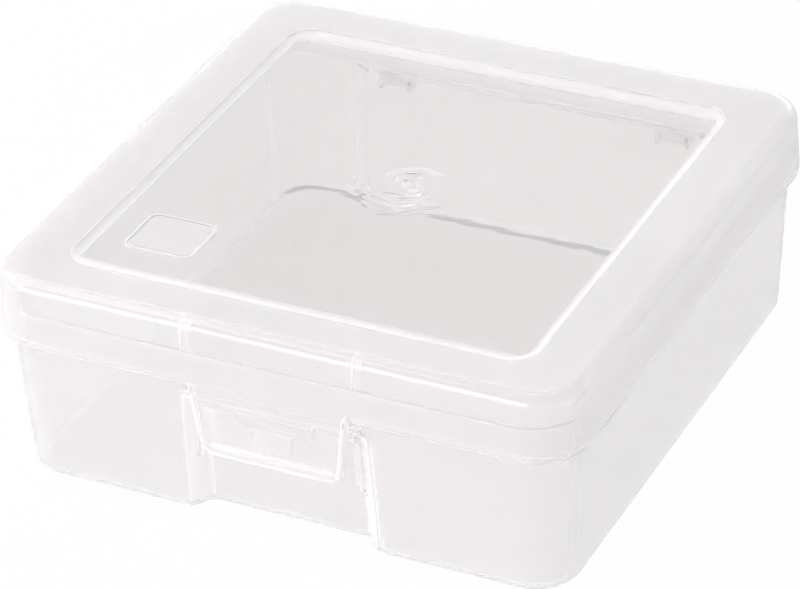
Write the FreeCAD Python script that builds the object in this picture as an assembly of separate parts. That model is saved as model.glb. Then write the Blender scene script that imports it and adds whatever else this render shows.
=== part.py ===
import FreeCAD, Part
import math
import os

# A square photo keeper case of translucent polypropylene: a deep tub and an overlapping lid with a sunk
# clear pane, a sprung latch tab at the front and two clip hinges at the rear.
# Millimetres. X to the right, Y to the rear, Z up; the case rests on Z = 0.

V = FreeCAD.Vector

# Overall sizes
lid_width = 165.0
lid_depth = 167.0
base_height = 51.4
lid_rise = 10.2
overrun = 1.0

# Lid moulding
lid_wall = 1.4
skirt_height = 19.1
lid_corner = 14.2
lid_draft = 0.7
top_round = 3.8
lip_height = 2.0
lip_inset = 0.35

# Sunk window and its clear pane
border_side = 17.1
border_front = 14.8
border_rear = 17.6
window_corner = 7.5
window_depth = 1.2
ramp_side = 2.65
ramp_end = 4.65
pane_corner = 4.8
gate_radius = 1.3
gate_height = 0.25
badge_width = 20.4
badge_depth = 18.2
badge_corner = 3.4
badge_height = 0.3
badge_side_margin = 7.0
badge_front_margin = 8.35

# Gussets under the lid, one each side of the latch
gusset_place = 24.0
gusset_wall = 1.7
gusset_reach = 3.8
gusset_foot = 2.9
gusset_clearance = 0.4

# Tub moulding
base_wall = 1.3
rim_inset = 2.3
waist_inset = 2.45
floor_inset = 4.75
rim_corner = 13.8
floor_corner = 12.1
floor_round = 3.0

# Finger alcove in the tub's front
alcove_half_width = 24.6
alcove_draft = 1.1
alcove_depth = 5.2
alcove_step = 2.2
alcove_splay = 1.3
alcove_drop = 5.0
alcove_crown = 1.2
mouth_round = 3.3
step_round = 1.0
pocket_half_width = 21.5
pocket_drop = 9.3
pocket_round = 1.6
pocket_back_round = 2.0
shoulder_drop = 25.0

# Hinge bay in the tub's rear
bay_margin = 26.7
bay_depth = 2.0
bay_slope = 5.0
bay_round = 3.3

# Stacking feet, which nest in the window of the case below
stacking_clearance = 0.1
foot_gap = 0.7
foot_wall = 1.4
foot_leg = 12.0

# Latch tab and its hook
tab_half_width = 22.4
tab_length = 18.9
tab_taper = 2.8
tab_corner = 2.6
tab_lean = 3.0
tab_gap = 0.15
bead_width = 1.3
bead_proud = 0.7
grip_height = 1.3
grip_proud = 2.0
hook_half_width = 5.5
hook_drop = 9.9
hook_height = 5.9
hook_reach = 2.4
hook_nose = 1.2

# Catch ledge on the tub
ledge_half_width = 11.0
ledge_height = 3.4
ledge_proud = 2.5
ledge_corner = 1.0
catch_clearance = 0.3

# Hinges
hinge_margin = 13.5
hinge_drop = 2.6
hinge_setback = 1.2
pin_radius = 1.0
pin_clearance = 0.05
knuckle_wall = 1.1
knuckle_half_width = 3.5
knuckle_mouth = 1.6
knuckle_mouth_angle = 215.0
ear_wall = 1.2
ear_radius = 1.9
ear_clearance = 0.3

# Levels and places that follow from the sizes above
foot_height = window_depth - stacking_clearance
floor_z = foot_height
rim_z = floor_z + base_height
top_z = rim_z + lid_rise
skirt_z = top_z - skirt_height
shoulder_z = skirt_z - shoulder_drop
pocket_z = skirt_z - pocket_drop
alcove_z = skirt_z - alcove_drop
half_width = lid_width / 2
half_depth = lid_depth / 2
bay_half_width = half_width - bay_margin
hinge_place = bay_half_width - hinge_margin
window_half_x = half_width - border_side
window_front_y = -half_depth + border_front
window_rear_y = half_depth - border_rear
pane_half_x = window_half_x - ramp_side
pane_front_y = window_front_y + ramp_end
pane_rear_y = window_rear_y - ramp_end
tab_axis_y = -half_depth + lid_wall / 2
tab_axis_z = skirt_z - tab_gap - lid_wall / 2
hinge_y = half_depth - hinge_setback
hinge_z = skirt_z - hinge_drop
knuckle_radius = pin_radius + pin_clearance + knuckle_wall
lean = math.radians(tab_lean)
rear_overhang = hinge_y + knuckle_radius - half_depth
grip_face = lid_wall / 2 + grip_proud
grip_bottom = tab_length - tab_gap - lid_wall / 2
front_overhang = grip_face * math.cos(lean) - (grip_bottom - grip_height) * math.sin(lean) - lid_wall / 2
centre_shift = V(0, (front_overhang - rear_overhang) / 2, 0)


def turn(before, corner, after):
    """Positive where a counter-clockwise outline turns left at the corner."""
    return ((corner[0] - before[0]) * (after[1] - corner[1])
            - (corner[1] - before[1]) * (after[0] - corner[0]))


def shrink(points, inset):
    """A counter-clockwise outline of (x, y, radius) corners, moved inwards by inset."""
    moved = []
    count = len(points)
    for i, corner in enumerate(points):
        before, after = points[i - 1], points[(i + 1) % count]
        d1 = V(corner[0] - before[0], corner[1] - before[1], 0).normalize()
        d2 = V(after[0] - corner[0], after[1] - corner[1], 0).normalize()
        n1, n2 = V(-d1.y, d1.x, 0), V(-d2.y, d2.x, 0)
        share = inset / (1 + n1.dot(n2))
        radius = corner[2]
        if radius:
            radius += -inset if turn(before, corner, after) > 0 else inset
        moved.append((corner[0] + (n1.x + n2.x) * share, corner[1] + (n1.y + n2.y) * share, radius))
    return moved


def outline(points, place):
    """A closed wire through rounded corners; place turns an outline's (x, y) into a point in space."""
    starts, ends, edges = [], [], []
    count = len(points)
    for i, (x, y, radius) in enumerate(points):
        before, after = points[i - 1], points[(i + 1) % count]
        corner = V(x, y, 0)
        d1 = (V(before[0], before[1], 0) - corner).normalize()
        d2 = (V(after[0], after[1], 0) - corner).normalize()
        half_angle = d1.getAngle(d2) / 2
        reach = radius / math.tan(half_angle)
        middle = corner + (d1 + d2).normalize() * (radius / math.sin(half_angle) - radius)
        starts.append(corner + d1 * reach)
        ends.append((middle, corner + d2 * reach))
    for i in range(count):
        middle, end = ends[i]
        if points[i][2]:
            arc = Part.Arc(place(starts[i]), place(middle), place(end))
            edges.append(arc.toShape())
        edges.append(Part.LineSegment(place(end), place(starts[(i + 1) % count])).toShape())
    return Part.Wire(edges)


def level(points, z):
    """An outline laid flat at a height."""
    return outline(points, lambda p: V(p.x, p.y, z))


def loft(lower, lower_z, upper, upper_z):
    """A solid between two flat outlines with the same corners."""
    return Part.makeLoft([level(lower, lower_z), level(upper, upper_z)], True, True)


def prism(points, low_z, high_z):
    return loft(points, low_z, points, high_z)


def rectangle(half_x, front_y, rear_y, radius):
    return [(half_x, front_y, radius), (half_x, rear_y, radius), (-half_x, rear_y, radius), (-half_x, front_y, radius)]


def side_plate(profile, low_x, high_x):
    """A plate square to X, from a profile of (y, z, radius) corners."""
    face = Part.Face(outline(profile, lambda p: V(low_x, p.x, p.y)))
    return face.extrude(V(high_x - low_x, 0, 0))


def front_plate(profile, low_y, high_y):
    """A plate square to Y, from a profile of (x, z, radius) corners."""
    face = Part.Face(outline(profile, lambda p: V(p.x, low_y, p.y)))
    return face.extrude(V(0, high_y - low_y, 0))


def block(low, high):
    size = V(*high) - V(*low)
    return Part.makeBox(size.x, size.y, size.z, V(*low))


def at_both_sides(shape):
    return shape, shape.mirror(V(0, 0, 0), V(1, 0, 0))


# Tub: level outlines with the alcove and the hinge bay, stacked from the floor to the rim

def inset_at(z):
    """How far the tub's outside stands in from the lid's outside."""
    waist = skirt_z
    if z >= waist:
        return waist_inset + (rim_inset - waist_inset) * (z - waist) / (rim_z - waist)
    return floor_inset + (waist_inset - floor_inset) * (z - floor_z) / (waist - floor_z)


def tub_outline(z, notch, bay, inset, crown=0.0):
    """The tub's outside at a height, moved inwards by inset. The notch is full, stepped, shallow or none."""
    stand = inset_at(z)
    x, front, rear = half_width - stand, stand - half_depth, half_depth - stand
    corner = floor_corner + (rim_corner - floor_corner) * (z - floor_z) / base_height
    side = alcove_half_width - alcove_draft * (z - floor_z) / base_height - crown
    step, back = front + alcove_step, front + alcove_depth
    right = []
    if notch == "full":
        right = [(side - alcove_splay, back, pocket_back_round), (side, step, mouth_round)]
    elif notch == "stepped":
        right = [(pocket_half_width, back, pocket_back_round), (pocket_half_width, step, pocket_round),
                 (side, step, step_round)]
    elif notch == "shallow":
        right = [(side, step, step_round)]
    if right:
        right.append((side + alcove_step, front, mouth_round))
    right += [(x, front, corner), (x, rear, corner)]
    if bay:
        right += [(bay_half_width, rear, bay_round), (bay_half_width - bay_slope, rear - bay_depth, bay_round)]
    left = [(-px, py, radius) for px, py, radius in reversed(right)]
    return shrink(right + left, inset)


def tub_form(inset, top):
    """The tub's outside, or with the wall as inset the space inside it."""
    stages = [
        (floor_z + inset, "full", True, 0, 0),
        (shoulder_z + inset, "stepped", True, 0, 0),
        (pocket_z + inset, "shallow", True, 0, alcove_crown),
        (alcove_z + inset, "none", True, 0, 0),
        (skirt_z + inset, "none", False, 0, 0),
        (top, "none", False, 0, 0),
    ]
    form = None
    for (low, notch, bay, crown_low, crown_high), (high, *_) in zip(stages, stages[1:]):
        piece = loft(tub_outline(low, notch, bay, inset, crown_low), low,
                     tub_outline(high, notch, bay, inset, crown_high), high)
        form = piece if form is None else form.fuse(piece)
    form = form.removeSplitter()
    bottom = [e for e in form.Edges if e.BoundBox.ZMax < floor_z + inset + 1e-4]
    return form.makeFillet(floor_round - inset, bottom)


base_tub = tub_form(0, rim_z).cut(tub_form(base_wall, rim_z + overrun))


# Stacking feet: the corners of a ring that fits the window's pane

pane_outline = rectangle(pane_half_x, pane_front_y, pane_rear_y, pane_corner)
foot_ring = shrink(pane_outline, foot_gap)
ring = prism(foot_ring, 0, foot_height).cut(prism(shrink(foot_ring, foot_wall), 0, foot_height))
foot_x, foot_front_y = foot_ring[0][0], foot_ring[0][1]
foot_rear_y = foot_ring[1][1]
stacking_feet = {}
for side_name, x in (("left", -foot_x), ("right", foot_x)):
    for end_name, y in (("front", foot_front_y), ("rear", foot_rear_y)):
        corner_box = block((x - foot_leg, y - foot_leg, 0), (x + foot_leg, y + foot_leg, foot_height))
        stacking_feet["stacking_foot_" + end_name + "_" + side_name] = ring.common(corner_box)


# Lid: skirt, top border and the ramp down to the pane

lid_outside = rectangle(half_width, -half_depth, half_depth, lid_corner)
window = rectangle(window_half_x, window_front_y, window_rear_y, window_corner)
pane_top_z = top_z - window_depth
lip_z = skirt_z + lip_height


def lid_form(inset, bottom, top):
    """The lid's outside above its lip, or with the wall as inset the space inside it."""
    low = shrink(lid_outside, inset)
    high = shrink(lid_outside, inset + lid_draft)
    form = loft(low, bottom, high, top)
    top_edges = [e for e in form.Edges if e.BoundBox.ZMin > top - 1e-4]
    return form.makeFillet(top_round - inset, top_edges)


lip = prism(shrink(lid_outside, lip_inset), skirt_z, lip_z)
tab_root = prism(lid_outside, skirt_z, lip_z).common(
    block((-tab_half_width, -half_depth, skirt_z), (tab_half_width, 0, lip_z)))
shell = lid_form(0, lip_z, top_z).fuse([lip, tab_root])
shell = shell.cut(lid_form(lid_wall, skirt_z, top_z - lid_wall))
pan = loft(pane_outline, pane_top_z - lid_wall, window, top_z - lid_wall)
recess = loft(pane_outline, pane_top_z, window, top_z)
opening = prism(pane_outline, pane_top_z - lid_wall - overrun, top_z + overrun)
lid_frame = shell.fuse(pan).cut(recess).cut(opening).removeSplitter()

# Clear pane with the moulding gate's mark at its middle and a bare pad in its front left corner
gate = Part.makeCylinder(gate_radius, gate_height, V(0, 0, pane_top_z))
badge_left = badge_side_margin - pane_half_x
badge_front = pane_front_y + badge_front_margin
badge = prism([(badge_left + badge_width, badge_front, badge_corner),
               (badge_left + badge_width, badge_front + badge_depth, badge_corner),
               (badge_left, badge_front + badge_depth, badge_corner),
               (badge_left, badge_front, badge_corner)], pane_top_z, pane_top_z + badge_height)
lid_pane = prism(pane_outline, pane_top_z - lid_wall, pane_top_z).fuse([gate, badge]).removeSplitter()

# Gussets between the lid's front skirt and its top; their feet stop the lid on the tub's rim
gusset_low = rim_z + gusset_clearance
gusset_high = top_z - lid_wall / 2
skirt_middle_y = -half_depth + lid_wall / 2
gusset_profile = [(skirt_middle_y, gusset_low, 0), (skirt_middle_y + gusset_foot, gusset_low, 0),
                  (skirt_middle_y + gusset_foot + gusset_reach, gusset_high, 0), (skirt_middle_y, gusset_high, 0)]
gusset = side_plate(gusset_profile, gusset_place - gusset_wall / 2, gusset_place + gusset_wall / 2)
inside_lid = lid_form(lid_wall, skirt_z, top_z - lid_wall)
gusset_right, gusset_left = at_both_sides(gusset.common(inside_lid))


# Latch tab, built hanging from its flex line and then leaned in

def tab_profile(inset):
    """The tab's face outline, as (x, z, radius); the inset one stays open at the top."""
    low = tab_half_width - tab_taper
    face = [(-low, -grip_bottom, tab_corner), (low, -grip_bottom, tab_corner),
            (tab_half_width, 0, 0), (-tab_half_width, 0, 0)]
    if not inset:
        return face
    inner = shrink(face, inset)
    return inner[:2] + [(inner[2][0], overrun, 0), (inner[3][0], overrun, 0)]


def lean_in(shape):
    """Turns a part of the latch from hanging straight at the origin to its place under the skirt."""
    shape.rotate(V(0, 0, 0), V(1, 0, 0), tab_lean)
    shape.translate(V(0, tab_axis_y, tab_axis_z))
    return shape


half_wall = lid_wall / 2
tab_plate = front_plate(tab_profile(0), -half_wall, half_wall)
tab_top = Part.makeCylinder(half_wall, 2 * tab_half_width, V(-tab_half_width, 0, 0), V(1, 0, 0))
tab_bead = front_plate(tab_profile(0), -half_wall - bead_proud, -half_wall)
tab_bead = tab_bead.cut(front_plate(tab_profile(bead_width), -half_wall - bead_proud, -half_wall))
tab_grip = front_plate(tab_profile(0), -grip_face, -half_wall).common(
    block((-tab_half_width, -grip_face, -grip_bottom), (tab_half_width, 0, grip_height - grip_bottom)))
latch_tab = lean_in(tab_plate.fuse([tab_top, tab_bead, tab_grip]).removeSplitter())

# The hook's nose reaches under the ledge and slopes away below it
hook_top = lid_wall / 2 + tab_gap - hook_drop
hook_profile = [(half_wall, hook_top - hook_height, 0), (half_wall + hook_reach, hook_top - hook_nose, 0),
                (half_wall + hook_reach, hook_top, 0), (half_wall, hook_top, 0)]
latch_hook = lean_in(side_plate(hook_profile, -hook_half_width, hook_half_width))

# Catch ledge on the face above the tub's pocket
ledge_low = tab_axis_z + hook_top + catch_clearance
ledge_high = ledge_low + ledge_height
ledge_root_y = -half_depth + inset_at(ledge_low) + alcove_step
ledge_profile = [(-ledge_half_width, ledge_low, ledge_corner), (ledge_half_width, ledge_low, ledge_corner),
                 (ledge_half_width, ledge_high, ledge_corner), (-ledge_half_width, ledge_high, ledge_corner)]
catch_ledge = front_plate(ledge_profile, ledge_root_y - ledge_proud, ledge_root_y + base_wall / 2).cut(base_tub)


# Hinges: ears and pin on the tub, a slotted knuckle on the lid that clicks over the pin

def disc(radius, low_x, high_x):
    return Part.makeCylinder(radius, high_x - low_x, V(low_x, hinge_y, hinge_z), V(1, 0, 0))


bay_wall_y = half_depth - inset_at(hinge_z) - bay_depth - base_wall / 2
knuckle_low, knuckle_high = hinge_place - knuckle_half_width, hinge_place + knuckle_half_width
ears = []
for low in (knuckle_low - ear_clearance - ear_wall, knuckle_high + ear_clearance):
    root = block((low, bay_wall_y, hinge_z - ear_radius), (low + ear_wall, hinge_y, hinge_z + ear_radius))
    ears.append(disc(ear_radius, low, low + ear_wall).fuse(root).cut(base_tub).removeSplitter())
inner_ear_right, inner_ear_left = at_both_sides(ears[0])
outer_ear_right, outer_ear_left = at_both_sides(ears[1])
pin = disc(pin_radius, knuckle_low - ear_clearance, knuckle_high + ear_clearance)
pin_right, pin_left = at_both_sides(pin)

neck = block((knuckle_low, half_depth - lid_wall, hinge_z), (knuckle_high, half_depth, skirt_z))
neck = neck.common(prism(shrink(lid_outside, lip_inset), hinge_z, skirt_z))
knuckle = disc(knuckle_radius, knuckle_low, knuckle_high).fuse(neck)
knuckle = knuckle.cut(disc(pin_radius + pin_clearance, knuckle_low, knuckle_high))
mouth = block((knuckle_low, 0, -knuckle_mouth / 2), (knuckle_high, knuckle_radius + overrun, knuckle_mouth / 2))
mouth.rotate(V(0, 0, 0), V(1, 0, 0), knuckle_mouth_angle)
mouth.translate(V(0, hinge_y, hinge_z))
knuckle = knuckle.cut(mouth).cut(lid_frame).removeSplitter()
knuckle_right, knuckle_left = at_both_sides(knuckle)


nodes = {
    "base_tub": base_tub,
    "catch_ledge": catch_ledge,
    "hinge_ear_inner_left": inner_ear_left,
    "hinge_ear_inner_right": inner_ear_right,
    "hinge_ear_outer_left": outer_ear_left,
    "hinge_ear_outer_right": outer_ear_right,
    "hinge_pin_left": pin_left,
    "hinge_pin_right": pin_right,
    "lid_frame": lid_frame,
    "lid_pane": lid_pane,
    "lid_gusset_left": gusset_left,
    "lid_gusset_right": gusset_right,
    "hinge_knuckle_left": knuckle_left,
    "hinge_knuckle_right": knuckle_right,
    "latch_tab": latch_tab,
    "latch_hook": latch_hook,
}
nodes.update(stacking_feet)

os.makedirs("parts", exist_ok=True)
for node, shape in nodes.items():
    placed = shape.copy()
    placed.translate(centre_shift)
    solids = placed.Solids
    whole = solids[0] if len(solids) == 1 else Part.Compound(solids)
    print(node, len(solids), round(whole.Volume, 1), whole.isValid(),
          [round(v, 2) for v in (whole.BoundBox.XMin, whole.BoundBox.YMin, whole.BoundBox.ZMin,
                                 whole.BoundBox.XMax, whole.BoundBox.YMax, whole.BoundBox.ZMax)])
    whole.exportStep("parts/" + node + ".step")
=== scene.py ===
# %% [markdown]
# # A translucent photo keeper case
# The case is two mouldings of natural polypropylene: a deep tub, and a lid that grows its own latch tab.
# Nothing on it is painted or glued, so its whole look is thin walls, soft corners and light that passes
# through them. The lesson loads the fixed construction model, builds each moulding as one closed skin,
# gives it its finish, and lights it on a white table.

# %% Load the construction model
import math

import bmesh
import bpy
from mathutils import Matrix, Vector


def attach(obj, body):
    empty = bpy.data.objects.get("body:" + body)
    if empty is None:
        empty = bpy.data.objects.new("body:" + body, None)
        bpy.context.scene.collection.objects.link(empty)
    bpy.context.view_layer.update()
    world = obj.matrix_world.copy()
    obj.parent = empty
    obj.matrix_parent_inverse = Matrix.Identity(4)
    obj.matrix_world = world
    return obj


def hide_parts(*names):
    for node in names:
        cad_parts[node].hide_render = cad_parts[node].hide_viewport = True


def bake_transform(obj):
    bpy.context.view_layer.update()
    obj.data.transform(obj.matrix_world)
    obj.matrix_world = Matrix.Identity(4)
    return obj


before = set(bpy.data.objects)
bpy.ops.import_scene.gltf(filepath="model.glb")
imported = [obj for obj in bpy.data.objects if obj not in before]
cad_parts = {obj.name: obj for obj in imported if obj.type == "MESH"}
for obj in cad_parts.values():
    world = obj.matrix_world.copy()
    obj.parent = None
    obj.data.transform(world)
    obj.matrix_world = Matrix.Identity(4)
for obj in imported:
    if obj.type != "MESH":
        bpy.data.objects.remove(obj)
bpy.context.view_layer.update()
MM = 0.001

# %% [markdown]
# ## Measures
# The scene works in metres, and a moulding is easier to read in millimetres, so every size below is in
# millimetres and is scaled once, when a mesh is made. The sizes are those of the construction model. Its
# outlines are centred on the lid, which stands a little behind the origin.

# %% Sizes of the two mouldings
LID_X, LID_Y = 165.0 / 2, 167.0 / 2
CENTRE_Y = 0.0848
FOOT = 1.1
RIM = 52.5
TOP = 62.7
SKIRT = 43.6
LIP = 45.6
LID_WALL = 1.4
LID_CORNER = 14.2
LID_DRAFT = 0.7
TOP_ROUND = 3.8
LIP_INSET = 0.35
WINDOW = (LID_X - 17.1, 14.8 - LID_Y, LID_Y - 17.6, 7.5)
RAMP_SIDE, RAMP_END = 2.65, 4.65
PANE_PLAN = (WINDOW[0] - RAMP_SIDE, WINDOW[1] + RAMP_END, WINDOW[2] - RAMP_END, 4.8)
WINDOW_DEPTH = 1.2
PANE = TOP - WINDOW_DEPTH
TUB_WALL = 1.3
FLOOR_ROUND = 3.0
SHOULDER = SKIRT - 25.0
POCKET = SKIRT - 9.3
ALCOVE = SKIRT - 5.0
TAB_HALF = 22.4
TAB_TAPER = 2.8
TAB_BOTTOM = SKIRT - 18.9
TAB_LEAN = math.radians(3.0)
TAB_AXIS_Y = -LID_Y + LID_WALL / 2
TAB_AXIS_Z = SKIRT - 0.85
print("case", 2 * LID_X, "x", 2 * LID_Y, "x", TOP, "mm")

# %% A small helper for nodes
def add_node(tree, kind, settings=None, **links):
    """Adds a node. A link's name is the input socket's name or index, its value a socket or a plain value."""
    node = tree.nodes.new(kind)
    for key, value in (settings or {}).items():
        setattr(node, key, value)
    for key, value in links.items():
        socket = node.inputs[int(key[1:])] if key[0] == "_" else node.inputs[key.replace("_", " ")]
        if isinstance(value, bpy.types.NodeSocket):
            tree.links.new(value, socket)
        else:
            socket.default_value = value
    return node


print("helper:", add_node.__name__)

# %% [markdown]
# ## Natural polypropylene
# Unpigmented polypropylene is clear but slightly milky, because its crystals scatter light. The mould's
# skin adds the rest: most walls come from spark-eroded steel and are frosted, and the pane is polished. A
# true volume scatter would show both, but it is slow and noisy in a wall this thin. So one surface shader
# stands in for the whole wall: a see-through skin, and a share of milk that sends light back and through in
# equal parts. A ray that meets the wall at a slant crosses more plastic, so the milk grows with the slant.
# The same rule makes thick lumps and edges seen end on whiter, and they get finishes of their own.

# %% Colours
def linear(hexa):
    """An sRGB hex colour as a linear RGBA value."""
    parts = [int(hexa[i:i + 2], 16) / 255 for i in (1, 3, 5)]
    return tuple(c / 12.92 if c <= 0.04045 else ((c + 0.055) / 1.055) ** 2.4 for c in parts) + (1.0,)


print("the plastic's tint is", [round(v, 3) for v in linear("#FAF9F8")[:3]])

# %% Ripples round the gate
RING_PITCH, RING_REACH, RING_WARP = 5.0, 17.0, 8.0


def gate_ripples(tree, place):
    """Rings round the gate, bent by a slow noise, that die away within a finger's width."""
    warp = add_node(tree, "ShaderNodeTexNoise", Vector=place, Scale=1 / (9.0 * MM), Detail=1.0)
    pull = add_node(tree, "ShaderNodeVectorMath", {"operation": "MULTIPLY_ADD"}, _0=warp.outputs["Color"],
                    _1=(RING_WARP * MM, RING_WARP * MM, 0.0),
                    _2=(-RING_WARP / 2 * MM, -RING_WARP / 2 * MM - CENTRE_Y * MM, -PANE * MM))
    moved = add_node(tree, "ShaderNodeVectorMath", {"operation": "ADD"}, _0=place, _1=pull.outputs[0])
    away = add_node(tree, "ShaderNodeVectorMath", {"operation": "LENGTH"}, _0=moved.outputs[0])
    turns = add_node(tree, "ShaderNodeMath", {"operation": "MULTIPLY"}, _0=away.outputs["Value"],
                     _1=2 * math.pi / (RING_PITCH * MM))
    ring = add_node(tree, "ShaderNodeMath", {"operation": "SINE"}, _0=turns.outputs[0])
    fade = add_node(tree, "ShaderNodeMapRange", Value=away.outputs["Value"], From_Min=1.0 * MM,
                    From_Max=RING_REACH * MM, To_Min=1.0, To_Max=0.0)
    height = add_node(tree, "ShaderNodeMath", {"operation": "MULTIPLY"}, _0=ring.outputs[0], _1=fade.outputs[0])
    return height.outputs[0]


print("rings", RING_PITCH, "mm apart, out to", RING_REACH, "mm")

# %% One plastic for all finishes
# Inside the plastic no ray is more slanting than this
LEAST_COSINE = 0.4
MILK_WHITE = "#FDFDFD"


def plastic(name, tint, clearness, roughness, grain, wave, ripple_height=0.0):
    """Polypropylene with a mould's skin: clearness is what one straight crossing leaves of a clear view.

    Grain is the mould's texture, wave the slow sink of the wall, ripple the flow at the gate. Grain and wave
    are pairs of width and height in millimetres.
    """
    (grain_mm, grain_height), (wave_mm, wave_height) = grain, wave
    material = bpy.data.materials.new(name)
    material.use_nodes = True
    tree = material.node_tree
    tree.nodes.clear()
    place = tree.nodes.new("ShaderNodeTexCoord").outputs["Object"]
    sink = add_node(tree, "ShaderNodeTexNoise", Vector=place, Scale=1 / (wave_mm * MM), Detail=2.0)
    pits = add_node(tree, "ShaderNodeTexNoise", Vector=place, Scale=1 / (grain_mm * MM), Detail=3.0)
    slow = add_node(tree, "ShaderNodeBump", Height=sink.outputs["Fac"], Strength=1.0, Distance=wave_height * MM)
    if ripple_height:
        slow = add_node(tree, "ShaderNodeBump", Height=gate_ripples(tree, place), Strength=1.0,
                        Distance=ripple_height * MM, Normal=slow.outputs[0])
    fine = add_node(tree, "ShaderNodeBump", Height=pits.outputs["Fac"], Strength=1.0,
                    Distance=grain_height * MM, Normal=slow.outputs[0])
    cloud = add_node(tree, "ShaderNodeMapRange", Value=sink.outputs["Fac"], To_Min=roughness * 0.88,
                     To_Max=roughness * 1.12)
    skin = add_node(tree, "ShaderNodeBsdfPrincipled", Base_Color=linear(tint), Roughness=cloud.outputs[0],
                    IOR=1.49, Transmission_Weight=1.0, Normal=fine.outputs[0])
    back = add_node(tree, "ShaderNodeBsdfDiffuse", Color=linear(MILK_WHITE))
    through = add_node(tree, "ShaderNodeBsdfTranslucent", Color=linear(MILK_WHITE))
    milk = add_node(tree, "ShaderNodeMixShader", _0=0.5, _1=back.outputs[0], _2=through.outputs[0])
    # A slanting ray crosses more plastic: clearness to the power of one over its cosine
    slant = add_node(tree, "ShaderNodeLayerWeight", Blend=0.5)
    cosine = add_node(tree, "ShaderNodeMath", {"operation": "SUBTRACT"}, _0=1.0, _1=slant.outputs["Facing"])
    bent = add_node(tree, "ShaderNodeMath", {"operation": "MAXIMUM"}, _0=cosine.outputs[0], _1=LEAST_COSINE)
    travel = add_node(tree, "ShaderNodeMath", {"operation": "DIVIDE"}, _0=1.0, _1=bent.outputs[0])
    kept = add_node(tree, "ShaderNodeMath", {"operation": "POWER"}, _0=clearness, _1=travel.outputs[0])
    whole = add_node(tree, "ShaderNodeMixShader", _0=kept.outputs[0], _1=milk.outputs[0], _2=skin.outputs[0])
    out = tree.nodes.new("ShaderNodeOutputMaterial")
    tree.links.new(whole.outputs[0], out.inputs["Surface"])
    return material


print("milk is", [round(v, 3) for v in linear(MILK_WHITE)[:3]])

# %% The finishes
# Spark pits are under a tenth of a millimetre wide. That is too fine to show, so they are drawn coarser
FINE_GRAIN, SMOOTH_GRAIN = (0.9, 0.002), (1.2, 0.001)
# Deeper sparks on the lid: a soft veil, through which ribs and rim only just show
eroded = plastic("coarsely_eroded_natural_polypropylene", "#FAF9F8", 0.825, 0.16, FINE_GRAIN, (26.0, 0.015))
# The tub's walls: the same veil, a little thinner
frosted = plastic("spark_eroded_natural_polypropylene", "#FAF9F8", 0.84, 0.16, FINE_GRAIN, (26.0, 0.03))
# Steel rubbed smooth with a stone, under the feet and in the rear floor turn: clear with a faint blur
stoned = plastic("stoned_natural_polypropylene", "#FAF9F8", 0.92, 0.08, SMOOTH_GRAIN, (20.0, 0.05))
# The pane: sharp reflections and an almost clear view, that wobbles with the plastic's flow
polished = plastic("polished_natural_polypropylene", "#FAF9F8", 0.96, 0.03, (1.6, 0.0005), (14.0, 0.06),
                   ripple_height=0.08)
# Edges and tight turns, where the eye looks along the wall instead of through it: soft white lines
end_on = plastic("natural_polypropylene_seen_end_on", "#FFFFFF", 0.62, 0.25, FINE_GRAIN, (26.0, 0.05))
# Solid little parts, several walls thick: white all through
lump = plastic("thick_natural_polypropylene", "#FFFFFF", 0.25, 0.25, FINE_GRAIN, (26.0, 0.05))
# The rear floor turn is a lens that bends bright surroundings away from the eye, and a grey tint in its plastic
# paints the thin dark line that this gives: painted shade
painted_shade_turn = plastic("natural_polypropylene_tinted_grey_for_painted_shade", "#8C8C90", 0.96, 0.06, SMOOTH_GRAIN, (20.0, 0.05))
finishes = (eroded, frosted, stoned, polished, end_on, lump, painted_shade_turn)
print("finishes:", *(finish.name for finish in finishes))

# %% [markdown]
# ## Outlines
# Both mouldings are stacks of level outlines, as contour lines on a map. An outline is a list of corners
# with radii; every outline of one stack has the same number of points, so neighbours join with plain
# quads. Moving an outline inwards by the wall gives the inside of the moulding.

# %% Rounded outlines
def turn(before, corner, after):
    return ((corner[0] - before[0]) * (after[1] - corner[1])
            - (corner[1] - before[1]) * (after[0] - corner[0]))


def shrink(points, inset):
    """A counter-clockwise outline of (x, y, radius) corners, moved inwards."""
    moved = []
    for i, corner in enumerate(points):
        before, after = points[i - 1], points[(i + 1) % len(points)]
        d1 = (Vector(corner[:2]) - Vector(before[:2])).normalized()
        d2 = (Vector(after[:2]) - Vector(corner[:2])).normalized()
        n1, n2 = Vector((-d1.y, d1.x)), Vector((-d2.y, d2.x))
        share = inset / (1 + n1.dot(n2))
        radius = corner[2]
        if radius:
            radius = max(radius - inset if turn(before, corner, after) > 0 else radius + inset, 0.05)
        moved.append((corner[0] + (n1.x + n2.x) * share, corner[1] + (n1.y + n2.y) * share, radius))
    return moved


def rounded(points, z, steps):
    """The outline's points in space: steps[i] + 1 of them round corner i."""
    ring = []
    for i, (x, y, radius) in enumerate(points):
        corner = Vector((x, y))
        d1 = (Vector(points[i - 1][:2]) - corner).normalized()
        d2 = (Vector(points[(i + 1) % len(points)][:2]) - corner).normalized()
        half = d1.angle(d2) / 2
        if radius < 1e-6 or half > math.pi / 2 - 1e-4:
            ring += [Vector((x, y, z))] * (steps[i] + 1)
            continue
        reach = radius / math.tan(half)
        centre = corner + (d1 + d2).normalized() * (radius / math.sin(half))
        start, end = corner + d1 * reach - centre, corner + d2 * reach - centre
        sweep = start.angle_signed(end)
        for k in range(steps[i] + 1):
            spoke = Matrix.Rotation(-sweep * k / steps[i], 2) @ start
            ring.append(Vector((centre.x + spoke.x, centre.y + spoke.y, z)))
    return ring


def mix(a, b, share):
    return a + (b - a) * share


def rectangle(half_x, front, rear, radius):
    return [(half_x, front, radius), (half_x, rear, radius), (-half_x, rear, radius), (-half_x, front, radius)]


print("a square with four steps a corner has", len(rounded(rectangle(10, -10, 10, 3), 0, [4] * 4)), "points")

# %% A closed skin through outlines
# Points nearer than this, in metres, are one point
SAME_POINT = 1e-6


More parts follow.
